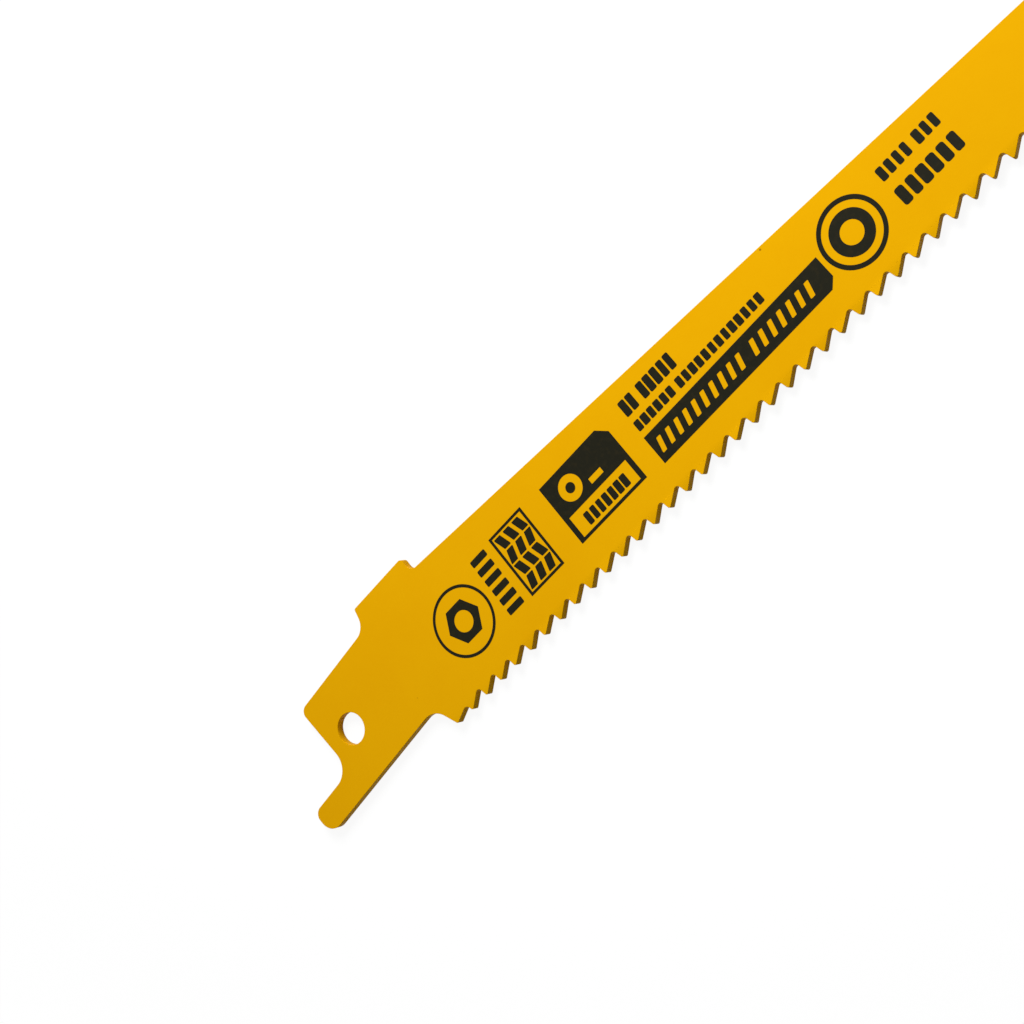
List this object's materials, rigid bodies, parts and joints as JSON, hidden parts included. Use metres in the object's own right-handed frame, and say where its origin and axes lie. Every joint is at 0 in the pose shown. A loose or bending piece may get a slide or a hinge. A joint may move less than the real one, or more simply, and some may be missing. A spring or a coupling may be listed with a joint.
{
  "type": "reciprocating saw blade",
  "caption": "Flat tapered saw blade with set teeth, a shoulder lug and a canted tang with a hole and a finger.",
  "frame": {"origin": "on the axis of the tang's hole, at half the blade's thickness", "axes": "+X along the teeth from the tang to the nose, +Y from the teeth to the back, +Z out of the printed face"},
  "size_m": [0.1519, 0.0185, 0.0014],
  "materials": {
    "yellow_paint": "satin",
    "black_ink": "satin"
  },
  "bodies": {
    "root": {"saw_blade": "yellow_paint"}
  },
  "joints": []
}
